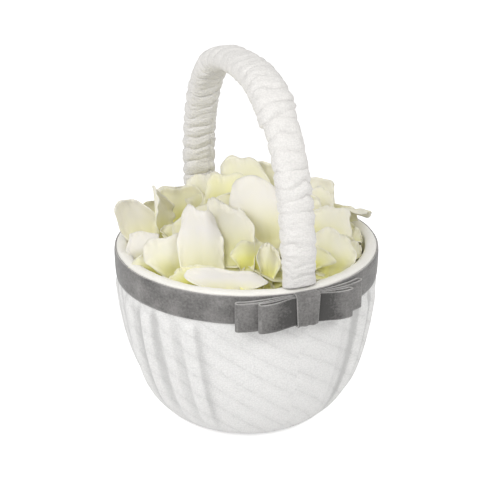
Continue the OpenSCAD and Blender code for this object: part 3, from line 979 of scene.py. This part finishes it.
def near_edge(u, v):
    """1 at a petal's sides and tip, falling off fast towards its middle."""
    return max(abs(u), ease((v - 0.5) / 0.5)) ** 4


def petal_frame(petal):
    """Base, tip and the directions across and out of the face of a petal, its base clear of the dome."""
    base = Vector((petal.base_x, petal.base_y, bed_top(petal.base_x, petal.base_y)))
    tip = Vector((petal.tip_x, petal.tip_y, rim_height + petal.tip_rise))
    along = (tip - base).normalized()
    side = Vector((0, -1, 0)).cross(along).normalized()
    turn = math.radians(petal.turn)
    across = math.cos(turn) * side + math.sin(turn) * along.cross(side)
    reach = petal_start(petal.taper) * petal.width / 2 * across
    corners = [base - reach, base, base + reach]
    lift = max(bed_top(c.x, c.y) - c.z for c in corners) + petal_clear
    return base + Vector((0, 0, lift)), tip, across, along.cross(across)


def petal_spot(petal, axes, u, v):
    """A point of a petal: u runs from -1 to 1 across it, v from 0 at its base to 1 at its tip."""
    base, tip, across, out = axes
    shown = max(0.0, v)
    edge = near_edge(u, v)
    slant = max(-most_slant, min(most_slant, lean_slant * (petal.base_x - petal.tip_x)))
    slant = slant * u + tip_uneven * rough(1.5 * u, petal.base_x, 0.4)
    share = v * (1 - tip_round * u * u - tip_corner * u ** 6 + slant * shown)
    wave = broad_wave * shown * math.sin(math.radians(170 * u + 7 * petal.base_x))
    wave += loose_wave * shown * rough(1.1 * u + petal.base_y, 1.3 * v, petal.base_x)
    ruffle = edge_ruffle * edge * rough(2.0 * u + petal.base_x, 2.4 * v, petal.base_y)
    ruffle += edge_crinkle * edge * rough(6.5 * u + petal.base_y, 7 * v, petal.base_x)
    crease = crease_depth * math.exp(-(u / crease_width) ** 2) * (1 - shown)
    edges = 0.5 * petal.cup * u * u * (base_cup + (1 - base_cup) * shown)
    bend = petal.belly * 4 * shown * (1 - shown) + petal.lean * shown ** 3
    forward = edges + bend + wave + ruffle - crease + edge_curl * edge * edge
    uneven = 1 + side_uneven * rough(1.9 * v, math.copysign(2.3, u), petal.base_x)
    half = petal_spread * petal.width / 2 * petal_outline(petal.taper, v) * uneven
    return base + (tip - base) * share + u * half * across + forward * out


def petal_shade(petal, u, v):
    """Colouring and painted shade at a point of a petal: strongest at its foot and paler along its edges.
    """
    shade = petal.tint + foot_tint_and_glow * (1 - ease(v / foot_reach))
    shade += tint_uneven * rough(2 * u, 0.7 * v, petal.base_y)
    return max(0.0, shade) * (1 - edge_fade * near_edge(u, v))


def turn_heap(spot):
    """Turn a point with the whole heap about the basket's axis."""
    x = spot.x * math.cos(heap_turn) - spot.y * math.sin(heap_turn)
    return x, spot.x * math.sin(heap_turn) + spot.y * math.cos(heap_turn), spot.z


def petal_cloth(name, petal):
    """One petal as a sheet, with its flat width, length and area in metres."""
    axes = petal_frame(petal)
    base, tip = axes[:2]
    lowest = -petal_hidden / (tip - base).length
    steps = [lowest + (petal_end - lowest) * j / petal_rows for j in range(petal_rows + 1)]
    width = petal_spread * petal.width
    length = area = 0.0
    last = None
    grid = []
    tints_and_shades = []
    for v in steps:
        middle = petal_spot(petal, axes, 0, v)
        step = (middle - last).length if last else 0.0
        last = middle
        length += step
        area += step * width * petal_outline(petal.taper, v)
        row = []
        for i in range(petal_columns + 1):
            u = 2 * i / petal_columns - 1
            row.append((*turn_heap(petal_spot(petal, axes, u, v)), u * width / 2, length))
            tints_and_shades.append(petal_shade(petal, u, v))
        grid.append(row)
    piece = cloth(name, grid, closed=False)
    keep_tint_and_shade(piece, tints_and_shades)
    return piece, (MM * width, MM * length), MM * MM * area


petal_paint, petal_shader = new_paint("petal_silk", petal_plain, roughness=0.6)
petal_shader.inputs["Sheen Weight"].default_value = 0.1
petal_shader.inputs["Subsurface Weight"].default_value = 0.35
petal_shader.inputs["Subsurface Radius"].default_value = (1, 0.95, 0.6)
petal_shader.inputs["Subsurface Scale"].default_value = 0.005
# The ramp follows the kept colouring and painted shade from ivory through cream to yellow-green.
petal_ramp = color_between(petal_paint, petal_shader, tint_and_shade_of(petal_paint), petal_ivory, petal_green)
petal_ramp.elements.new(0.5).color = (*petal_cream, 1)
vein_place = add(petal_paint, "ShaderNodeMapping", {
    "Vector": place_on(petal_paint, "UV"), "Scale": (420, 60, 1)}).outputs["Vector"]
petal_vein = add(petal_paint, "ShaderNodeTexNoise", {"Vector": vein_place, "Scale": 1.0, "Detail": 3})
raise_by(petal_paint, petal_shader, petal_vein.outputs["Fac"], vein_depth)

for number, petal in enumerate(petals, start=1):
    piece, flat, area = petal_cloth(f"silk_petal_{number:02d}", petal)
    thicken(piece, petal_thickness)
    dress(piece, petal_paint)
    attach(piece, "petals")
    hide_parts(f"petal_{number:02d}")

# Packed petals
# The petals below and between those that stand up: whole petals lying over each other on a low dome,
# their places from a spiral with a fixed seed, and a few more that fill the gaps in the heap.
# One piece, since they lie still. The rows of the gap fillers are as above.

gap_fillers = (
    Petal(-58, -44, -62, -37, 9, 30, 0.3, 0, -3, 3, -2, 0.5),
    Petal(-32, -66, -33, -58, 8, 30, 0.3, 0, -3, 2, -2, 0.6),
    Petal(4, -56, 5, -44, 20, 26, 0.2, 0, -3, 3, -3, 0.7),
    Petal(-34, -32, -36, -20, 26, 28, 0.3, 8, -3, 3, -3, 0.5),
    Petal(-12, 12, -13, 24, 41, 30, 0.4, 0, -4, 3, -3, 0.6),
    Petal(36, -48, 40, -40, 16, 34, 0.3, 0, -3, 3, -3, 0.6),
    Petal(32, 0, 34, 10, 34, 32, 0.3, 0, -4, 3, -3, 0.3),
    Petal(-58, 22, -64, 28, 20, 28, 0.4, 0, 3, -2, 2, 0.4),
    Petal(-16, 52, -18, 60, 26, 34, 0.4, 0, -4, 3, 3, 0.4),
    Petal(60, 34, 66, 40, 12, 30, 0.4, 0, -4, 3, 3, 0.4),
    Petal(62, -14, 66, -8, 7, 22, 0.4, 0, -4, 3, 3, 0.5),
    Petal(64, 14, 69, 18, 8, 20, 0.4, 0, -4, 3, 3, 0.5),
    Petal(67, -24, 70, -12, 3, 16, 0.4, 0, -3, 2, 2, 0.4),
    Petal(72, -4, 74, 8, 3, 10, 0.4, 0, -3, 2, 2, 0.4),
)
packed_count = 72
packed_reach = 66
packed_rows = 14
packed_columns = 12
spiral_turn = 137.5
packed_lengths = (40, 50)
packed_widths = (34, 42)
packed_depths = (3, 6)
packed_cups = (2, 6)
packed_taper = 0.2
packed_ruffle = 1.5
packed_fill = 0.85
# Painted glow and shade of the heap's depth: lying petals take a deep yellow-green, paler towards their
# edges.
packed_tint_and_shade = 0.85
packed_fade = 0.5
most_tilt = 0.22
lining_clear = 1.5
handle_clear = (16, 69)
chance = random.Random(11)


def keep_inside(x, y, z):
    """Move a point of a packed petal in from the lining and from the handle's feet."""
    limit = bowl_radius(lining_depth, min(z, rim_height)) - lining_clear
    radius = math.hypot(x, y)
    if radius > limit:
        x, y = x * limit / radius, y * limit / radius
    if abs(x) < handle_clear[0] and abs(y) > handle_clear[1]:
        y = math.copysign(handle_clear[1], y)
    return x, y, z


def bed_slope(place):
    """Fall of the dome of packed petals at a place along X or Y."""
    return place * 2 * bed_crown / bed_radius ** 2


def packed_petal(k):
    """One lying petal, its place from the spiral and the rest by chance, with its area in metres."""
    radius = packed_reach * math.sqrt((k + 0.5) / packed_count)
    x, y = turned(radius, spiral_turn * k)
    length = chance.uniform(*packed_lengths)
    width = chance.uniform(*packed_widths)
    normal = Vector((bed_slope(x), bed_slope(y), 1))
    normal += Vector((chance.uniform(-most_tilt, most_tilt), chance.uniform(-most_tilt, most_tilt), 0))
    normal.normalize()
    heading = Vector((*turned(1, chance.uniform(0, 360)), 0))
    across = normal.cross(heading).normalized()
    along = across.cross(normal)
    middle = Vector((x, y, bed_top(x, y) - chance.uniform(*packed_depths)))
    cup = chance.uniform(*packed_cups)
    grid = []
    tints_and_shades = []
    for j in range(packed_rows + 1):
        v = j / packed_rows
        outline = petal_outline(packed_taper, v)
        row = []
        for i in range(packed_columns + 1):
            u = 2 * i / packed_columns - 1
            edge = near_edge(u, v)
            rise = cup * ((u * outline) ** 2 + (2 * v - 1) ** 2) / 2
            rise += packed_ruffle * edge * rough(2.5 * u + k, 3 * v, 0.3 * k)
            spot = middle + (v - 0.5) * length * along + u * outline * width / 2 * across + rise * normal
            row.append((*keep_inside(*spot), u * width / 2, v * length))
            tints_and_shades.append(packed_tint_and_shade - packed_fade * edge)
        grid.append(row)
    piece = cloth(f"packed_petal_{k:02d}", grid, closed=False)
    keep_tint_and_shade(piece, tints_and_shades)
    return piece, packed_fill * MM * length * MM * width


lying = []
for k in range(packed_count):
    piece, area = packed_petal(k)
    lying.append(piece)
for k, petal in enumerate(gap_fillers):
    piece, flat, area = petal_cloth(f"gap_petal_{k:02d}", petal)
    lying.append(piece)
bpy.ops.object.select_all(action="DESELECT")
for piece in lying:
    piece.select_set(True)
packed = lying[0]
packed.name = "packed_petals"
bpy.context.view_layer.objects.active = packed
bpy.ops.object.join()
thicken(packed, petal_thickness)
dress(packed, petal_paint)
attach(packed, "petals")
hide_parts("petal_bed")

# Studio
# White floor under an even white sky, a soft light from the right, a larger and stronger one from the
# left and a weak one overhead. Distances are in metres.
# The camera stands a little above and to the left of the bow, far enough back for a long lens.

floor_size = 6.0
floor_drop = 0.0005
floor_white = (0.9, 0.9, 0.9)
floor_glow = 0.56
sky_light = 0.48
sky_shown = 1.0
azimuth = math.radians(-23.75)
elevation = math.radians(22.67)
camera_distance = 1.1


def seen_ray(owner):
    """1 for rays that show the backdrop, straight or in a shiny or clear surface, and 0 for its light."""
    path = add(owner, "ShaderNodeLightPath", {})
    seen = path.outputs["Is Camera Ray"]
    for other in ("Is Glossy Ray", "Is Transmission Ray"):
        seen = combine(owner, "MAXIMUM", seen, path.outputs[other])
    return seen


bpy.ops.mesh.primitive_plane_add(size=floor_size, location=(0, 0, -floor_drop))
floor = bpy.context.object
floor.name = "studio_floor"
floor_paint, floor_shader = new_paint("white_floor", floor_white, roughness=0.9)
floor_light = combine(floor_paint, "MULTIPLY", seen_ray(floor_paint), floor_glow)
floor_shader.inputs["Emission Color"].default_value = (1, 1, 1, 1)
floor_paint.node_tree.links.new(floor_light, floor_shader.inputs["Emission Strength"])
dress(floor, floor_paint)

world = bpy.data.worlds.new("studio")
bpy.context.scene.world = world
world.use_nodes = True
sky = world.node_tree.nodes["Background"]
sky.inputs["Color"].default_value = (1, 1, 1, 1)
sky_strength = add(world, "ShaderNodeMapRange", {
    "Value": seen_ray(world), "To Min": sky_light, "To Max": sky_shown})
world.node_tree.links.new(sky_strength.outputs["Result"], sky.inputs["Strength"])

aim = Vector((0, 0, MM * rim_height))
level = math.cos(elevation)
back = Vector((math.sin(azimuth) * level, -math.cos(azimuth) * level, math.sin(elevation)))
right = Vector((math.cos(azimuth), math.sin(azimuth), 0))
up = Vector((0, 0, 1))


def soft_light(name, place, size, power):
    """A square light at a place counted from the point the camera aims at, turned towards it."""
    light = bpy.data.lights.new(name, "AREA")
    light.size = size
    light.energy = power
    lamp = bpy.data.objects.new(name, light)
    lamp.location = aim + place
    lamp.rotation_euler = place.to_track_quat("Z", "Y").to_euler()
    bpy.context.scene.collection.objects.link(lamp)


soft_light("key", 0.9 * right + 0.8 * back + 0.6 * up, size=0.5, power=6.5)
soft_light("fill", -0.8 * right + 1.0 * back + 0.4 * up, size=0.9, power=10)
soft_light("overhead", 1.4 * up - 0.1 * back, size=0.8, power=1)

camera_data = bpy.data.cameras.new("photo_camera")
camera_data.sensor_fit = "HORIZONTAL"
camera_data.sensor_width = 36
camera_data.lens = 120.95
camera_data.shift_x = -0.0134
camera_data.shift_y = 0.0046
camera = bpy.data.objects.new("photo_camera", camera_data)
camera.location = aim + camera_distance * back
camera.rotation_euler = back.to_track_quat("Z", "Y").to_euler()
bpy.context.scene.collection.objects.link(camera)
bpy.context.scene.camera = camera
bpy.context.scene.view_settings.view_transform = "Standard"
